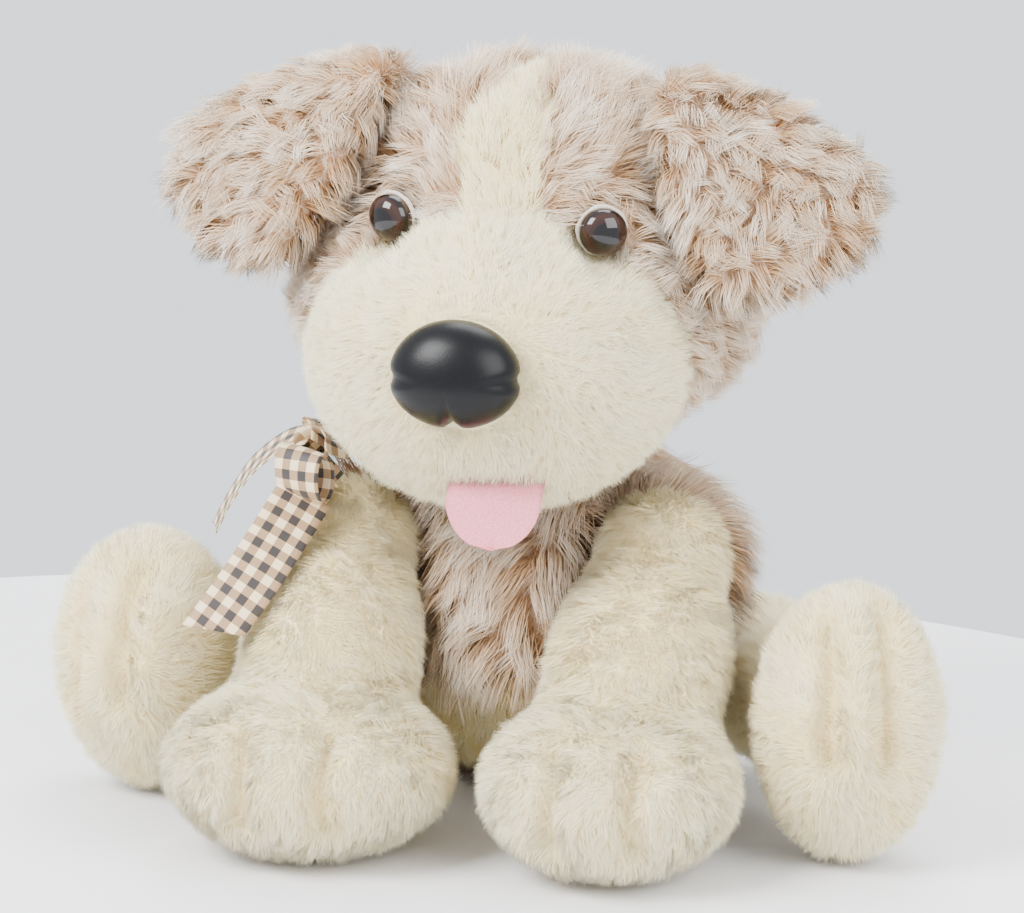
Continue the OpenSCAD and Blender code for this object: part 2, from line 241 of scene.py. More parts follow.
def triangles_of(mesh):
    mesh.calc_loop_triangles()
    return read(mesh.loop_triangles, "vertices", 3, np.int32)


def edges_of(mesh):
    return read(mesh.edges, "vertices", 2, np.int32)


def move_to(mesh, points):
    mesh.vertices.foreach_set("co", points.ravel())
    mesh.update()


def put(name, mesh, mat, body):
    """A new visible piece that rides on a body."""
    o = bpy.data.objects.new(name, mesh)
    bpy.context.scene.collection.objects.link(o)
    mesh.materials.clear()
    mesh.materials.append(mat)
    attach(o, body)
    return o


def from_arrays(name, points, faces):
    mesh = bpy.data.meshes.new(name)
    mesh.from_pydata(points.tolist(), [], [list(map(int, f)) for f in faces])
    mesh.update()
    return mesh


def save(mesh, name, values, kind="FLOAT", key="value"):
    """Keep a value for each vertex, as a named attribute."""
    layer = mesh.attributes.new(name, kind, "POINT")
    layer.data.foreach_set(key, values.astype(np.float32).ravel())


def smooth_shading(mesh):
    mesh.polygons.foreach_set("use_smooth", np.ones(len(mesh.polygons), bool))


def largest_part(mesh):
    """Vertex mask of the biggest connected part, which is the outside of a hollow form."""
    edges = edges_of(mesh)
    label = np.arange(len(mesh.vertices))
    while True:
        low = np.minimum(label[edges[:, 0]], label[edges[:, 1]])
        new = label.copy()
        np.minimum.at(new, edges[:, 0], low)
        np.minimum.at(new, edges[:, 1], low)
        new = new[new]
        if (new == label).all():
            break
        label = new
    return label == np.bincount(label).argmax()


def gap_to(points, *nodes):
    """The distance from each point to the nearest of some CAD nodes."""
    gaps = []
    for n in nodes:
        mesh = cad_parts[n].data
        tree = BVHTree.FromPolygons(points_of(mesh).tolist(), triangles_of(mesh).tolist())
        gaps.append([tree.find_nearest(p)[3] for p in points])
    return np.min(gaps, 0)


def skin(name, nodes, body, inset, mat, creases=(), rounds=10):
    """The sewn fabric round some CAD nodes: their outer form, smoothed, and set in by the pile.

    inset is in millimetres, or a function of the points. creases are (node, depth, width), also
    in millimetres, and draw the fabric in along that node's stitches.
    """
    points, faces, at = [], [], 0
    for n in nodes:
        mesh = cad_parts[n].data
        points.append(points_of(mesh))
        faces.append(triangles_of(mesh) + at)
        at += len(points[-1])
    rough = bpy.data.objects.new("rough", from_arrays("rough", np.vstack(points), np.vstack(faces)))
    bpy.context.scene.collection.objects.link(rough)
    mod = rough.modifiers.new("voxels", "REMESH")
    mod.mode = "VOXEL"
    mod.voxel_size = 3.2 * MM
    graph = bpy.context.evaluated_depsgraph_get()
    mesh = bpy.data.meshes.new_from_object(rough.evaluated_get(graph))
    bpy.data.objects.remove(rough)
    keep = largest_part(mesh)
    co = points_of(mesh)
    quads = [list(p.vertices) for p in mesh.polygons if keep[p.vertices[0]]]
    index = np.cumsum(keep) - 1
    mesh = from_arrays(name, co[keep], [[index[i] for i in q] for q in quads])
    smooth_shading(mesh)
    edges = edges_of(mesh)
    co = points_of(mesh)
    degree = np.bincount(edges.ravel(), minlength=len(co))[:, None]

    def relax(co, times):
        for _ in range(times):
            total = np.zeros_like(co)
            np.add.at(total, edges[:, 0], co[edges[:, 1]])
            np.add.at(total, edges[:, 1], co[edges[:, 0]])
            co = 0.5 * co + 0.5 * total / degree
        return co

    co = relax(co, rounds)
    move_to(mesh, co)
    crease = np.zeros(len(co))
    for node, _, width in creases:
        crease = np.maximum(crease, np.exp(-((gap_to(co, node) / (width * MM)) ** 2)))
    depth = inset(co) if callable(inset) else inset
    co = co - normals_of(mesh) * np.reshape(depth * MM, (-1, 1))
    move_to(mesh, co)
    for _, depth, _ in creases:
        co = co - normals_of(mesh) * (depth * MM * crease)[:, None]
    co = relax(co, 2)
    co[:, 2] = np.maximum(co[:, 2], 0.6 * MM)
    move_to(mesh, co)
    save(mesh, "crease", crease)
    o = put(name, mesh, mat, body)
    return o


def inside(points, o, margin):
    """Which points lie in another skin by more than a margin."""
    mesh = o.data
    tree = BVHTree.FromPolygons(points_of(mesh).tolist(), triangles_of(mesh).tolist())
    out = np.zeros(len(points), bool)
    low, high = points_of(mesh).min(0), points_of(mesh).max(0)
    for i in np.nonzero(((points > low) & (points < high)).all(1))[0]:
        near, normal, _, gap = tree.find_nearest(points[i])
        if near is not None and gap > margin and (Vector(points[i]) - near).dot(normal) < 0:
            out[i] = True
    return out


def wobble(points, size, seed):
    """A smooth random value about 0 at each point, that varies over a given size."""
    r = np.random.default_rng(seed)
    value = np.zeros(len(points))
    for _ in range(7):
        way = unit(r.normal(size=3)) * r.uniform(0.6, 1.6) * 2 * math.pi / (size * MM)
        value += np.sin(points @ way + r.uniform(0, 6.28))
    return value / 2.6


# ---- Fur ----


def scatter(o, per_mm2, keep, seed):
    """Strand roots spread evenly over a skin, thinned by keep(points, normals), 0 to 1.

    Returns each root's place, its normal and how deep it is in a crease, 0 to 1.
    """
    r = np.random.default_rng(seed)
    mesh = o.data
    co, no, tri = points_of(mesh), normals_of(mesh), triangles_of(mesh)
    a, b, c = co[tri[:, 0]], co[tri[:, 1]], co[tri[:, 2]]
    area = 0.5 * np.linalg.norm(np.cross(b - a, c - a), axis=1)
    weight = area * keep((a + b + c) / 3, unit(no[tri].mean(1)))
    total = np.cumsum(weight)
    count = int(total[-1] * 1e6 * per_mm2)
    pick = np.searchsorted(total, (np.arange(count) + r.random(count)) / count * total[-1])
    pick = np.minimum(pick, len(tri) - 1)
    u, v = r.random(count), r.random(count)
    flip = u + v > 1
    u[flip], v[flip] = 1 - u[flip], 1 - v[flip]
    w = np.stack([1 - u - v, u, v], 1)[:, :, None]
    crease = read(mesh.attributes["crease"].data, "value", 1)
    root, normal, crease = ((values[tri[pick]] * w).sum(1) for values in (co, no, crease))
    return root, unit(normal), crease[:, 0]


def spikes(name, lines, steps, sides, normal, thick, soft, shade):
    """Three-sided spikes along the lines' points, a ring at each step and a tip at the last."""
    n, rings = len(normal), len(steps) - 1
    verts, outs, along = [], [], []
    for k, t in enumerate(steps[:-1]):
        w = thick * MM * 0.5 * (1 - 0.55 * t)
        for j in range(3):
            a = j * 2 * math.pi / 3
            out = sides[0] * math.cos(a) + sides[1] * math.sin(a)
            verts.append(lines[k] + out * w)
            outs.append(unit(normal + out * soft + UP * 0.1))
            along.append(np.full(n, t))
    verts.append(lines[-1])
    outs.append(unit(normal + UP * 0.1))
    along.append(np.ones(n))
    per = len(verts)
    verts = np.stack(verts, 1).reshape(-1, 3)
    along = np.stack(along, 1)
    cells = []
    for k in range(rings - 1):
        for j in range(3):
            a, b = 3 * k + j, 3 * k + (j + 1) % 3
            cells += [[a, b, b + 3], [a, b + 3, a + 3]]
    last = 3 * (rings - 1)
    cells += [[last + j, last + (j + 1) % 3, per - 1] for j in range(3)]
    tri = (np.arange(n)[:, None, None] * per + np.array(cells)[None]).reshape(-1)
    mesh = bpy.data.meshes.new(name)
    mesh.vertices.add(len(verts))
    mesh.vertices.foreach_set("co", verts.astype(np.float32).ravel())
    mesh.loops.add(len(tri))
    mesh.loops.foreach_set("vertex_index", tri.astype(np.int32))
    mesh.polygons.add(len(tri) // 3)
    mesh.polygons.foreach_set("loop_start", np.arange(0, len(tri), 3, dtype=np.int32))
    mesh.update(calc_edges=True)
    smooth_shading(mesh)
    save(mesh, "along", along)
    save(mesh, "tone", np.repeat(shade, per))
    save(mesh, "custom_normal", np.stack(outs, 1), "FLOAT_VECTOR", "vector")
    # One small cell of the OFBake UV layout for each strand
    grid = math.ceil(math.sqrt(n))
    cell = np.stack([np.arange(n) % grid, np.arange(n) // grid], 1)
    across = np.array([*(v % 3 for v in range(per - 1)), 1]) / 2 * 0.7 + 0.15
    uv = np.empty((n, per, 2))
    uv[:, :, 0] = (cell[:, :1] + across[None]) / grid
    uv[:, :, 1] = (cell[:, 1:] + 0.1 + 0.8 * along) / grid
    layer = mesh.uv_layers.new(name="OFBake")
    layer.uv.foreach_set("vector", uv.reshape(-1, 2)[tri].astype(np.float32).ravel())
    return mesh


def fur(name, o, body, mat, per_mm2, long, thick, flow, keep, seed, lean=0.5, droop=0.4,
        clump=6.0, gather=0.6, wave=0.0, rings=2, soft=0.5, grain=0.2, stray=0.35, tone=None,
        swell=None, hidden=(), trim=()):
    """Strands as thin closed spikes on a skin, leaning along flow and gathered in tufts.

    per_mm2 is the strands' number on a square millimetre; long, thick, clump and wave are in
    millimetres. keep, lean, swell and tone may vary over the skin. Strands are left out where
    they are inside a hidden skin, and parted round each (centre, clear, reach) in trim.
    """
    r = np.random.default_rng(seed)
    root, normal, crease = scatter(o, per_mm2, keep, seed)
    for other in hidden:
        out = ~inside(root, other, 3 * MM)
        root, normal, crease = root[out], normal[out], crease[out]
    length = long * MM * (1 - 0.45 * crease)
    if swell is not None:
        length *= swell(root)
    way = flow(root, normal)
    for centre, clear, reach in trim:
        off = root - centre
        gap = np.linalg.norm(off, axis=1)
        near = np.clip((reach - gap) / (reach - clear), 0, 1)[:, None]
        way = way * (1 - near) + unit(off) * near
        length *= 1 - 0.55 * near[:, 0]
        out = gap > clear
        root, normal, crease = root[out], normal[out], crease[out]
        way, length = way[out], length[out]
    n = len(root)
    # Tufts: each strand belongs to the nearest of some random roots.
    guides = r.choice(n, max(min(8, n), int(n / per_mm2 / clump**2)), replace=False)
    tree = KDTree(len(guides))
    for k, g in enumerate(guides):
        tree.insert(root[g], k)
    tree.balance()
    tuft = np.array([tree.find(p)[1] for p in root])
    g_turn = r.normal(0, stray, len(guides)) + stray * wobble(root[guides], 28, seed + 100)
    g_long = r.normal(1, 0.1, len(guides))[tuft]
    g_tone = r.normal(0, grain, len(guides))[tuft]
    way = unit(way - normal * (way * normal).sum(1, keepdims=True))
    turn = g_turn[tuft] + r.normal(0, 0.22, n)
    across = np.cross(normal, way)
    way = way * np.cos(turn)[:, None] + across * np.sin(turn)[:, None]
    length = length * g_long * r.normal(1, 0.12, n)
    tilt = ((lean(root) if callable(lean) else lean) * r.normal(1, 0.25, n))[:, None]
    start = unit(normal + way * tilt)
    end = unit(normal * 0.25 + way * (tilt + 0.5) - UP * droop)
    below = (end * normal).sum(1, keepdims=True)
    end = unit(end + normal * np.maximum(0.12 - below, 0))
    steps = [*(k / rings for k in range(rings)), 1.0]
    swing = r.uniform(0, 6.28, n)[:, None] * 0.25 + r.uniform(0, 6.28, len(guides))[tuft][:, None]
    lines = []
    for t in steps:
        p = root + length[:, None] * (start * (t - 0.5 * t * t) + end * 0.5 * t * t)
        if wave:
            p = p + np.cross(start, normal + way) * np.sin(swing + t * 5.0) * wave * MM * t
        lines.append(p)
    # Gather each tuft's tips about its own mean line.
    size = np.bincount(tuft, minlength=len(guides))[:, None].astype(float)
    for k, t in enumerate(steps[1:], 1):
        mean = np.stack([np.bincount(tuft, lines[k][:, i], len(guides)) for i in range(3)], 1)
        mean = (mean / np.maximum(size, 1))[tuft]
        pull = gather * t**1.2 * r.uniform(0.7, 1.0, n)[:, None]
        lines[k] = lines[k] * (1 - pull) + mean * pull
    for p in lines:
        p[:, 2] = np.maximum(p[:, 2], 0.3 * MM)
    shade = tone(root) if tone else 0.5 + 0.18 * wobble(root, 35, seed)
    # Painted shade: a strand's tone drops with how deep its root lies in a crease, so the stitched
    # toe creases come out darker and yellower than the fur round them
    shade = np.clip(shade + g_tone + r.normal(0, grain / 2, n) - 0.45 * crease, 0, 1)
    side = unit(np.cross(start, r.normal(size=(n, 3))))
    mesh = spikes(name, lines, steps, (side, np.cross(start, side)), normal, thick, soft, shade)
    put(name, mesh, mat, body)


def everywhere(points, normals):
    return np.ones(len(points))


def centre_of(*nodes):
    """The middle and half size of the box round some CAD nodes."""
    low = np.min([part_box(n)[0] for n in nodes], 0)
    high = np.max([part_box(n)[1] for n in nodes], 0)
    return (low + high) / 2, (high - low) / 2


def away_from(centre, pull=(0, 0, 0)):
    """Fur that runs away from a point, with a steady pull."""
    return lambda p, n: unit(p - centre) + np.array(pull)


def downward(p, n):
    return np.tile([0.0, 0.0, -1.0], (len(p), 1))


# ---- Skins ----

eye_mid = {s: centre_of(f"eye_dome_{s}")[0] for s in SIDES}
nose_mid, nose_half = centre_of("nose_cover")
muzzle_mid, muzzle_half = centre_of("muzzle_shell", "chin_panel")
head_mid, head_half = centre_of("head_shell", "blaze_panel")
blaze_mid, blaze_half = centre_of("blaze_panel")
neck_mid = centre_of("neck_shell")[0]
tongue_mid, tongue_half = centre_of("tongue_front", "tongue_back")


def vertices_of(node):
    return points_of(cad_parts[node].data)


def in_blaze(p):
    """1 on the pale blaze, falling to 0 past its edges: a kite, widest a third of the way up."""
    low, high = blaze_mid[2] - blaze_half[2], blaze_mid[2] + blaze_half[2]
    up = (p[:, 2] - low) / (high - low)
    middle = np.interp(up, [0.1, 0.45, 0.85, 1.2], [4, 1.5, 3, 8]) * MM
    half = np.interp(up, [-0.1, 0.15, 0.5, 0.85, 1.15, 1.3], [12, 14, 15.5, 11, 4.5, 0]) * MM
    side = np.clip((half - np.abs(p[:, 0] - middle)) / (2 * MM) + 0.5, 0, 1)
    return side * ((p[:, 1] < head_mid[1]) & (up < 1.3) & (up > -0.4))


def in_belly(p):
    """1 on the cream panel: in front of its back edge and under its top."""
    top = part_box("belly_panel")[1]
    return ((p[:, 1] < top[1]) & (p[:, 2] < top[2])).astype(float)


def near_muzzle(p):
    """1 at the muzzle, falling to 0 at 34 mm from it."""
    return np.clip(1 - gap_to(p, "muzzle_shell") / (34 * MM), 0, 1)


def near_eyes(p):
    """1 at an eye, falling to 0 at 24 mm from its middle."""
    gap = np.min([np.linalg.norm(p - eye_mid[s], axis=1) for s in SIDES], 0)
    return np.clip((24 * MM - gap) / (10 * MM), 0, 1)


def clear_of(p, *nodes):
    """0 within 2 mm of some CAD nodes, rising to 1 at 7 mm."""
    return np.clip((gap_to(p, *nodes) - 2 * MM) / (5 * MM), 0, 1)


def head_inset(p):
    """The pile's depth in millimetres: long at the back, short round the muzzle, blaze and eyes."""
    depth = LONG_PILE - (LONG_PILE - SHORT_PILE) * np.maximum(near_muzzle(p), in_blaze(p))
    depth = depth - (depth - 2.5) * near_eyes(p)
    return depth + 8 * clear_of(p, "head_shell", "blaze_panel")


def torso_inset(p):
    """The long pile's depth, and deeper on the stump that the neck's skin covers."""
    return LONG_PILE + 9 * clear_of(p, "torso_shell", "belly_panel")


head_skin = skin(
    "head_skin",
    ["head_shell", "blaze_panel", "head_stuffing", "muzzle_shell", "chin_panel", "muzzle_stuffing"],
    "head",
    head_inset,
    TAUPE_CLOTH,
)
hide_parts("head_shell", "blaze_panel", "head_stuffing")
muzzle_skin = skin(
    "muzzle_skin",
    ["muzzle_shell", "chin_panel", "muzzle_stuffing"],
    "head",
    SHORT_PILE,
    CREAM_CLOTH,
)
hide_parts("muzzle_shell", "chin_panel", "muzzle_stuffing")
torso_skin = skin(
    "torso_skin",
    ["torso_shell", "belly_panel", "torso_stuffing", "neck_shell", "neck_stuffing"],
    "torso",
    torso_inset,
    TAUPE_CLOTH,
)
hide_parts("torso_shell", "belly_panel", "torso_stuffing")
neck_skin = skin("neck_skin", ["neck_shell", "neck_stuffing"], "neck", NECK_PILE, TAUPE_CLOTH)
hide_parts("neck_shell", "neck_stuffing")
tail_skin = skin("tail_skin", ["tail_shell", "tail_stuffing"], "tail", SHORT_PILE, TAUPE_CLOTH)
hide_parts("tail_shell", "tail_stuffing")
foreleg_skin, hindleg_skin, ear_skin = {}, {}, {}
for s in SIDES:
    foreleg_skin[s] = skin(
        f"foreleg_skin_{s}",
        [f"foreleg_shell_{s}", f"paw_shell_{s}", f"foreleg_stuffing_{s}"],
        f"foreleg_{s}",
        SHORT_PILE,
        CREAM_CLOTH,
        [(f"paw_stitches_{s}", 7, 5)],
    )
    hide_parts(f"foreleg_shell_{s}", f"paw_shell_{s}", f"foreleg_stuffing_{s}",
                f"paw_stitches_{s}")
    hindleg_skin[s] = skin(
        f"hindleg_skin_{s}",
        [f"hindleg_shell_{s}", f"foot_shell_{s}", f"hindleg_stuffing_{s}"],
        f"hindleg_{s}",
        SHORT_PILE,
        CREAM_CLOTH,
        [(f"foot_stitches_{s}", 7, 5)],
    )
    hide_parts(f"hindleg_shell_{s}", f"foot_shell_{s}", f"hindleg_stuffing_{s}",
                f"foot_stitches_{s}")
    ear_skin[s] = skin(
        f"ear_skin_{s}",
        [f"ear_outer_{s}", f"ear_lining_{s}"],
        f"ear_{s}",
        EAR_PILE,
        TAUPE_CLOTH,
        rounds=22,
    )
    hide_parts(f"ear_outer_{s}", f"ear_lining_{s}")

# ---- Fur on each skin ----


def in_corner(p):
    """1 on the muzzle form's upper corners, which the taupe cheeks cover."""
    height = (p[:, 2] - muzzle_mid[2]) / muzzle_half[2]
    half = np.interp(height, [0.1, 0.33, 0.5, 0.7, 0.9], [1.15, 0.9, 0.74, 0.52, 0.4])
    return np.clip((np.abs(p[:, 0] - muzzle_mid[0]) - half * muzzle_half[0]) / (3 * MM) + 0.5, 0, 1)


eye_trim = [(eye_mid[s], 9 * MM, 17 * MM) for s in SIDES]
nose_trim = (nose_mid + np.array([0, 0.012, 0]), 21 * MM, 32 * MM)
fur("head_fur", head_skin, "head", TAUPE, 0.95, 24, 0.4,
    away_from(muzzle_mid + np.array([0, 0.02, 0.03]), (0, 0.3, -0.25)),
    lambda p, n: 1 - in_blaze(p), 1, lean=lambda p: 0.8 - 0.35 * near_muzzle(p), droop=0.25,
    clump=5, gather=0.6, wave=2.0, stray=0.5, swell=lambda p: 1 - 0.4 * near_muzzle(p),
    hidden=[muzzle_skin], trim=eye_trim, tone=lambda p: 0.5 + 0.22 * wobble(p, 30, 21))
fur("cheek_fur", muzzle_skin, "head", TAUPE, 1.0, 15, 0.42,
    away_from(nose_mid, (0, 0.5, 0)), lambda p, n: in_corner(p), 3, lean=0.6, droop=0.2,
    clump=5, gather=0.6, wave=1.0, hidden=[head_skin], trim=eye_trim)
fur("blaze_fur", head_skin, "head", CREAM, 2.2, 11, 0.36,
    away_from(nose_mid, (0, 0.2, 0.2)), lambda p, n: in_blaze(p), 2, lean=0.22, droop=0.05,
    clump=3, gather=0.2, rings=1, soft=0.2, grain=0.06, hidden=[muzzle_skin], trim=eye_trim,
    tone=lambda p: 0.5 + 0.1 * wobble(p, 14, 3))
fur("muzzle_fur", muzzle_skin, "head", CREAM, 2.8, 7.5, 0.32,
    away_from(nose_mid, (0, 0.1, -0.25)), lambda p, n: 1 - in_corner(p), 4, lean=0.2,
    droop=0.08, clump=3, gather=0.08, rings=1, soft=0.15, grain=0.05, stray=0.5, hidden=[head_skin],
    swell=lambda p: 1 + 0.5 * np.clip(1 - gap_to(p, "head_shell") / (14 * MM), 0, 1),
    trim=[*eye_trim, nose_trim], tone=lambda p: 0.74 + 0.1 * wobble(p, 22, 5))
fur("torso_fur", torso_skin, "torso", TAUPE, 0.85, 25, 0.43,
    away_from(neck_mid + np.array([0, 0.01, 0.01]), (0, 0, -0.5)), lambda p, n: 1 - in_belly(p),
    6, lean=0.7, droop=0.35, clump=5.5, gather=0.65, wave=2.0, stray=0.45,
    swell=lambda p: 1 + 0.4 * np.clip((p[:, 2] - 0.085) / 0.04, 0, 1),
    tone=lambda p: 0.42 + 0.2 * wobble(p, 30, 22),
    hidden=[*foreleg_skin.values(), *hindleg_skin.values(), neck_skin])
fur("belly_fur", torso_skin, "torso", CREAM, 1.4, 9, 0.42, downward, lambda p, n: in_belly(p),
    7, lean=0.4, clump=4, gather=0.35, rings=1, soft=0.25,
    hidden=[*foreleg_skin.values(), *hindleg_skin.values()],
    tone=lambda p: 0.3 + 0.1 * wobble(p, 22, 5))
fur("neck_fur", neck_skin, "neck", TAUPE, 1.0, 30, 0.43, away_from(neck_mid, (0, 0, -0.6)),
    everywhere, 8, lean=0.45, droop=0.4, clump=6.5, gather=0.72, wave=1.4,
    hidden=[head_skin, torso_skin])
fur("tail_fur", tail_skin, "tail", TAUPE, 0.8, 20, 0.42,
    lambda p, n: np.tile([0, 0.8, 0.4], (len(p), 1)), everywhere, 9, lean=0.9, droop=0.2,
    clump=5.5, gather=0.7, wave=1.2, hidden=[torso_skin])
for k, s in enumerate(SIDES):
    paw_mid = centre_of(f"paw_pellets_{s}")[0]
    foot_mid = centre_of(f"foot_pellets_{s}")[0]

    def leg_tone(p, mid=paw_mid):
        """Paler towards the toes."""
        toes = np.clip((mid[1] + 0.012 - p[:, 1]) / 0.03, 0, 1)
        return 0.42 + 0.34 * toes + 0.1 * wobble(p, 24, 11)

    def in_shoulder(p):
        """1 on the top and back of the leg, where the body's taupe plush covers it."""
        return np.clip((p[:, 1] + 0.034) / 0.008, 0, 1) * np.clip((p[:, 2] - 0.084) / 0.012, 0, 1)

    fur(f"shoulder_fur_{s}", foreleg_skin[s], f"foreleg_{s}", TAUPE, 0.95, 25, 0.43,
        away_from(muzzle_mid, (0, 0, 0.4)), lambda p, n: in_shoulder(p), 50 + k, lean=0.45,
        droop=0.25, clump=5.5, gather=0.6, wave=1.8, stray=0.45)
    fur(f"foreleg_fur_{s}", foreleg_skin[s], f"foreleg_{s}", CREAM, 2.5, 7, 0.33,
        away_from(centre_of(f"foreleg_shell_{s}")[0] + np.array([0, 0.05, 0.06])),
        lambda p, n: 1 - in_shoulder(p), 20 + k, lean=0.2, droop=0.08, clump=3.5, gather=0.1,
        rings=1, soft=0.15, grain=0.06, stray=0.5, tone=leg_tone)
    fur(f"hindleg_fur_{s}", hindleg_skin[s], f"hindleg_{s}", CREAM, 2.3, 7.5, 0.34,
        away_from(foot_mid + np.array([0, -0.02, 0.02])), everywhere, 30 + k, lean=0.2,
        droop=0.08, clump=3.5, gather=0.1, rings=1, soft=0.15, grain=0.06, stray=0.5,
        hidden=[torso_skin], tone=lambda p: 0.62 + 0.12 * wobble(p, 26, 12))
    ear_top = head_mid + np.array([0, 0, head_half[2]])
    fur(f"ear_fur_{s}", ear_skin[s], f"ear_{s}", TAUPE, 1.05, 16, 0.4,
        away_from(ear_top, (0, 0, -0.35)), everywhere, 40 + k, lean=0.6, droop=0.2, clump=5,
        gather=0.55, wave=2.2, stray=0.75, tone=lambda p: 0.4 + 0.26 * wobble(p, 24, 13))

# ---- Nose, eyes and tongue ----


def nose():
    """A padded cushion, wider at the top, with a tuck on each side and one at the bottom."""
    rows, cols = 40, 64
    pts = []

    def notch(a, at):
        return math.exp(-(((a - at) / 0.12) ** 2))

    for i in range(rows + 1):
        lat = i / rows * math.pi * 0.62
        for j in range(cols):
            a = j / cols * 2 * math.pi
            x, z = math.cos(a), math.sin(a)
            wide = 1 + 0.06 * z - 0.1 * max(0, -z) ** 2
            r = math.sin(lat) * wide
            deep = math.cos(lat)
            tuck = 0.20 * notch(a, 1.5 * math.pi) * min(1, r * 1.2) ** 2
            for at in (0.06, math.pi - 0.06, 2 * math.pi + 0.06):
                tuck += 0.13 * notch(a, at) * max(0, r - 0.45)
            k = 1 - tuck
            pts.append(np.array([x * r, -deep * 1.5, z * r]) * nose_half * k)
    pts = np.array(pts)
    pts[:, 1] += nose_half[1] * 0.5
    pts += nose_mid + np.array([-0.0015, 0.002, -0.0008])
    faces = []
    for i in range(rows):
        for j in range(cols):
            a, b = i * cols + j, i * cols + (j + 1) % cols
            faces.append([a, b, b + cols, a + cols])
    faces.append([rows * cols + j for j in range(cols)])
    mesh = from_arrays("nose", pts, faces)
    smooth_shading(mesh)
    o = put("nose", mesh, VINYL, "head")
    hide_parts("nose_cover", "nose_padding")


def felt_ring(s, centre, outward):
    """A felt washer under the eye, with a hand-cut edge."""
    side = unit(np.cross(outward, UP))
    up = np.cross(side, outward)
    pts, faces, count = [], [], 48
    for i in range(count):
        a = i / count * 2 * math.pi
        edge = 9.9 + 0.18 * math.sin(5 * a + 1) + 0.12 * math.sin(11 * a)
        profile = (5.0, 0.8), (edge - 0.4, 0.8), (edge, 0.0), (edge - 0.4, -0.8), (5.0, -0.8)
        here, there = i * 5, (i + 1) % count * 5
        for j, (r, h) in enumerate(profile):
            pts.append(centre + (side * math.cos(a) + up * math.sin(a)) * r * MM + outward * h * MM)
            k = (j + 1) % 5
            faces.append([here + j, there + j, there + k, here + k])
    mesh = from_arrays("eye_ring", np.array(pts), faces)
    smooth_shading(mesh)
    o = put(f"eye_ring_{s}", mesh, FELT, "head")
    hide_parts(f"eye_felt_{s}")


def colour_node(node, mat):
    """A CAD node that is shown as it is, in a material of its own."""
    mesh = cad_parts[node].data
    mesh.materials.clear()
    mesh.materials.append(mat)
    return mesh


nose()
for s in SIDES:
    dome = vertices_of(f"eye_dome_{s}")
    outward = unit(dome.mean(0) - vertices_of(f"eye_felt_{s}").mean(0))
    apex = dome[(dome @ outward).argmax()]
    felt_ring(s, vertices_of(f"eye_felt_{s}").mean(0), outward)
    for part, mat in (("base", IRIS), ("pupil", PUPIL), ("dome", eye_material(f"eye_{s}", apex))):
        mesh = colour_node(f"eye_{part}_{s}", mat)
        if part in ("dome", "base"):
            smooth_shading(mesh)
    colour_node(f"eye_washer_{s}", FELT)


def two_grids(rows, cols, flip):
    """The faces of two sheets' grids, the second after the first; flip says which is turned."""
    faces, n = [], (rows + 1) * (cols + 1)
    for layer in (0, 1):
        for i in range(rows):
            for j in range(cols):
                a = layer * n + i * (cols + 1) + j
                q = [a, a + 1, a + cols + 2, a + cols + 1]
                faces.append(q[::-1] if layer == flip else q)
    return faces


def tongue():
    """Two felt layers sewn round the edge: a tab that curls forward a little at its end."""
    rows, cols = 14, 20
    half, drop = tongue_half[0], tongue_half[2] * 2
    pts = []
    for side in (1, -1):
        for i in range(rows + 1):
            t = i / rows
            low = t * drop
            straight = drop - half
            w = math.sqrt(max(0, half**2 - max(0, low - straight) ** 2))
            for j in range(cols + 1):
                u = j / cols * 2 - 1
                edge = max(0.0, 1 - max(abs(u), t) ** 6)
                thick = tongue_half[1] * (0.35 + 0.65 * edge**0.5) * side
                curl = 0.0035 * t * t + 0.0022 * u * u * t
                back = 0.016 * max(0, 1 - t / 0.3) ** 1.6
                pts.append([u * w, back - curl - thick, -low + back * 0.3])
    n = (rows + 1) * (cols + 1)
    faces = two_grids(rows, cols, flip=0)
    rim = [i * (cols + 1) for i in range(rows + 1)]
    rim += [rows * (cols + 1) + j for j in range(1, cols + 1)]
    rim += [i * (cols + 1) + cols for i in range(rows - 1, -1, -1)]
    rim += range(cols - 1, 0, -1)
    for a, b in zip(rim, rim[1:] + rim[:1]):
        faces.append([a, b, b + n, a + n])
    pts = np.array(pts)
    pts += np.array([tongue_mid[0], tongue_mid[1], tongue_mid[2] + tongue_half[2]])
    mesh = from_arrays("tongue", pts, faces)
    smooth_shading(mesh)
    o = put("tongue", mesh, PINK, "tongue")
    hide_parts("tongue_front", "tongue_back")


tongue()

# ---- Ribbon ----


def run_of(points):
    """How far along a line each of its points lies."""
    return np.concatenate([[0], np.cumsum(np.linalg.norm(np.diff(points, axis=0), axis=1))])


def smooth_line(points, count):
    """A Catmull-Rom curve through some points, as evenly spaced stations."""
    p = np.array(points, float)
    p = np.vstack([2 * p[0] - p[1], p, 2 * p[-1] - p[-2]])
    out = []
    for i in range(1, len(p) - 2):
        for t in np.linspace(0, 1, 24, endpoint=False):
            a, b, c, d = p[i - 1], p[i], p[i + 1], p[i + 2]
            out.append(0.5 * (2 * b + (c - a) * t + (2 * a - 5 * b + 4 * c - d) * t * t
                              + (3 * b - a - 3 * c + d) * t**3))
    out.append(p[-2])
    out = np.array(out)
    gone = run_of(out)
    at = np.linspace(0, gone[-1], count)
    return np.stack([np.interp(at, gone, out[:, i]) for i in range(out.shape[1])], 1)


CHECK = 7.4  # mm: one light and one dark square of the weave


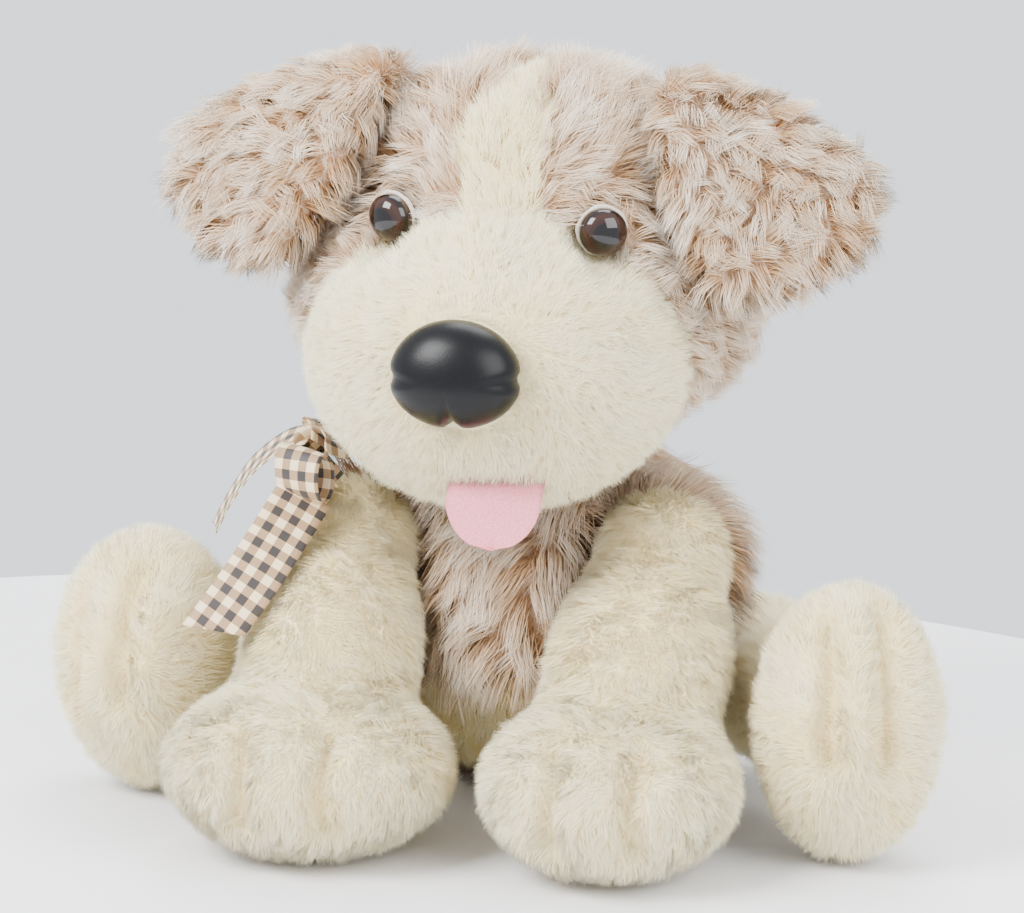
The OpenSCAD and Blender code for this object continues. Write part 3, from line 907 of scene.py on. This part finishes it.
def ribbon(name, body, stations, node, slant=0.0, wide=22.0):
    """A woven band through stations of (point, width direction), in millimetres.

    slant is how far one side of the cut end runs past its middle.
    """
    raw = [[*p, *unit(np.array(w, float))] for p, w in stations]
    line = smooth_line(raw, 60)
    centre = line[:, :3] * MM
    across = unit(line[:, 3:])
    along = unit(np.gradient(centre, axis=0))
    across = unit(across - along * (across * along).sum(1, keepdims=True))
    up = np.cross(along, across)
    gone = run_of(centre)
    cols, half, thin = 10, wide * MM / 2, 0.25 * MM
    pts, weave = [], []
    for side in (1, -1):
        for i in range(len(centre)):
            for j in range(cols + 1):
                u = j / cols * 2 - 1
                reach = slant * u * MM * (i / (len(centre) - 1)) ** 8
                bow = 0.6 * MM * (1 - u * u)
                pts.append(centre[i] + across[i] * u * half + up[i] * (bow + side * thin)
                           + along[i] * reach)
                weave.append([(u + 1) / 2 * wide / CHECK, (gone[i] + reach) / (CHECK * MM)])
    rows, n = len(centre) - 1, len(centre) * (cols + 1)
    faces = two_grids(rows, cols, flip=1)
    rim = [*range(cols + 1), *(i * (cols + 1) + cols for i in range(1, rows + 1))]
    rim += [rows * (cols + 1) + j for j in range(cols - 1, -1, -1)]
    rim += [i * (cols + 1) for i in range(rows - 1, 0, -1)]
    for a, b in zip(rim, rim[1:] + rim[:1]):
        faces.append([b, a, a + n, b + n])
    mesh = from_arrays(name, np.array(pts), faces)
    smooth_shading(mesh)
    layer = mesh.uv_layers.new(name="weave")
    loops = np.empty(len(mesh.loops), np.int32)
    mesh.loops.foreach_get("vertex_index", loops)
    layer.uv.foreach_set("vector", np.array(weave)[loops].astype(np.float32).ravel())
    o = put(name, mesh, RIBBON, body)
    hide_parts(node)


knot_mid = centre_of("bow_knot")[0] / MM


def at(x, y, z):
    """A point measured from the knot, in millimetres."""
    return knot_mid + np.array([x, y, z])


def neck_band():
    """Stations round the neck: full width at the bow, drawn in under the fur elsewhere."""
    low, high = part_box("neck_ribbon")
    mid, radius = (np.array(low) + np.array(high)) / 2 / MM, (high[0] - low[0]) / 2 / MM
    rise = (high[2] - low[2]) / 2 / MM - 2.5
    out = []
    for k in range(25):
        a = math.radians(200 + k * 355 / 24)
        close = radius * (1 - 0.25 * min(1, 1.4 * (1 - math.cos(a - math.radians(221)))))
        p = mid + np.array([math.cos(a) * close, math.sin(a) * close, math.sin(a) * rise])
        out.append((p, (0.25 * math.cos(a), 0.25 * math.sin(a), 1)))
    return out


ribbon("ribbon_neck", "torso", neck_band(), "neck_ribbon", wide=12)
ribbon("ribbon_front_end", "ribbon_end_front",
       [(at(0, -20, -11), (0.76, -0.1, -0.62)), (at(-6, -33, -24), (0.76, -0.1, -0.64)),
        (at(-15, -47, -41), (0.78, -0.1, -0.62)), (at(-26, -57, -58), (0.8, -0.1, -0.58))],
       "bow_tail_front", slant=-5)
ribbon("ribbon_back_end", "ribbon_end_back",
       [(at(-4, 4, 8), (-0.33, 0.85, 0.11)), (at(-17, 7, 3), (-0.34, 0.86, 0.06)),
        (at(-31, 12, -8), (-0.36, 0.87, 0)), (at(-42, 17, -22), (-0.38, 0.88, -0.1)),
        (at(-50, 20, -36), (-0.4, 0.88, -0.13))],
       "bow_tail_back", slant=4, wide=20)
loop_way = np.array([0.33, 0.93, 0])
ribbon("ribbon_loop_front", "torso",
       [(at(0, -21, -3) + loop_way * 5.5 * math.cos(a) + UP * 9 * math.sin(a),
         (0.93, -0.33, -0.15)) for a in np.radians(np.linspace(75, 415, 11))],
       "bow_loop_front", wide=20)
ribbon("ribbon_loop_back", "torso",
       [(at(2, 4, 2), (0.1, 0.9, 0.3)), (at(0, 10, 8), (0.1, 0.9, 0.3)),
        (at(-3, 15, 12), (0.1, 0.9, 0.3)), (at(-4, 16, 6), (0.1, 0.9, 0.3)),
        (at(0, 11, 1), (0.1, 0.9, 0.3)), (at(2, 5, -1), (0.1, 0.9, 0.3))],
       "bow_loop_back", wide=18)
ribbon("ribbon_knot", "torso",
       [(at(7 * math.cos(a), 7 * math.sin(a) * 0.7, 6.5 * math.sin(a)), (0.5, 0.6, -0.5))
        for a in np.linspace(0, 5.9, 9)],
       "bow_knot", wide=13)

# ---- Hidden parts that the scene carries over ----

colour_node("closing_seam", THREAD)
colour_node("pellet_bag", FELT)
for s in SIDES:
    colour_node(f"paw_pellets_{s}", FELT)
    colour_node(f"foot_pellets_{s}", FELT)

# ---- Stage ----

RIM = 160
TABLE_MID = [-0.09, -0.21, 0]
turn = np.linspace(0, 2 * math.pi, RIM, endpoint=False)
circle = np.stack([np.cos(turn), np.sin(turn), 0 * turn], 1)
table = [circle * radius - UP * drop for radius, drop in ((0.56, 0), (0.564, 0.006), (0.55, 0.03))]
walls = [[k * RIM + i, (k + 1) * RIM + i, (k + 1) * RIM + (i + 1) % RIM, k * RIM + (i + 1) % RIM]
         for k in (0, 1) for i in range(RIM)]
floor_mesh = from_arrays("floor", np.vstack(table) + TABLE_MID, [list(range(RIM)), *walls])
floor = bpy.data.objects.new("floor", floor_mesh)
bpy.context.scene.collection.objects.link(floor)
floor_mesh.materials.append(material("table_top", linear(244, 244, 246), 0.6))

world = bpy.data.worlds.new("studio")
bpy.context.scene.world = world
world.use_nodes = True
world.node_tree.nodes["Background"].inputs["Color"].default_value = linear(224, 228, 234)
world.node_tree.nodes["Background"].inputs["Strength"].default_value = 2.1


def softbox(name, place, aim, power, size):
    """A square light of some watts and metres, turned to a point."""
    light = bpy.data.lights.new(name, "AREA")
    light.energy = power
    light.size = size
    o = bpy.data.objects.new(name, light)
    o.location = place
    o.rotation_euler = (Vector(aim) - Vector(place)).to_track_quat("-Z", "Y").to_euler()
    bpy.context.scene.collection.objects.link(o)


softbox("key", (-0.9, -1.1, 1.3), (0, 0, 0.15), 68, 0.9)
softbox("fill", (1.3, -0.9, 0.9), (0, 0, 0.15), 34, 1.2)
softbox("top", (0.1, 0.7, 1.5), (0, 0, 0.2), 24, 1.0)

AZIMUTH, ELEVATION, DISTANCE = math.radians(13), math.radians(14), 1.4
look = Vector((-math.sin(AZIMUTH) * math.cos(ELEVATION),
               math.cos(AZIMUTH) * math.cos(ELEVATION), -math.sin(ELEVATION)))
right = Vector((math.cos(AZIMUTH), math.sin(AZIMUTH), 0))
ground = Vector((0, 0, 0.068))
camera = bpy.data.objects.new("camera", bpy.data.cameras.new("camera"))
camera.data.lens = 123
camera.data.clip_end = 20
camera.location = ground - look * DISTANCE
aim = ground + right.cross(look) * 0.0655 - right * 0.006
camera.rotation_euler = (aim - camera.location).to_track_quat("-Z", "Y").to_euler()
bpy.context.scene.collection.objects.link(camera)
bpy.context.scene.camera = camera
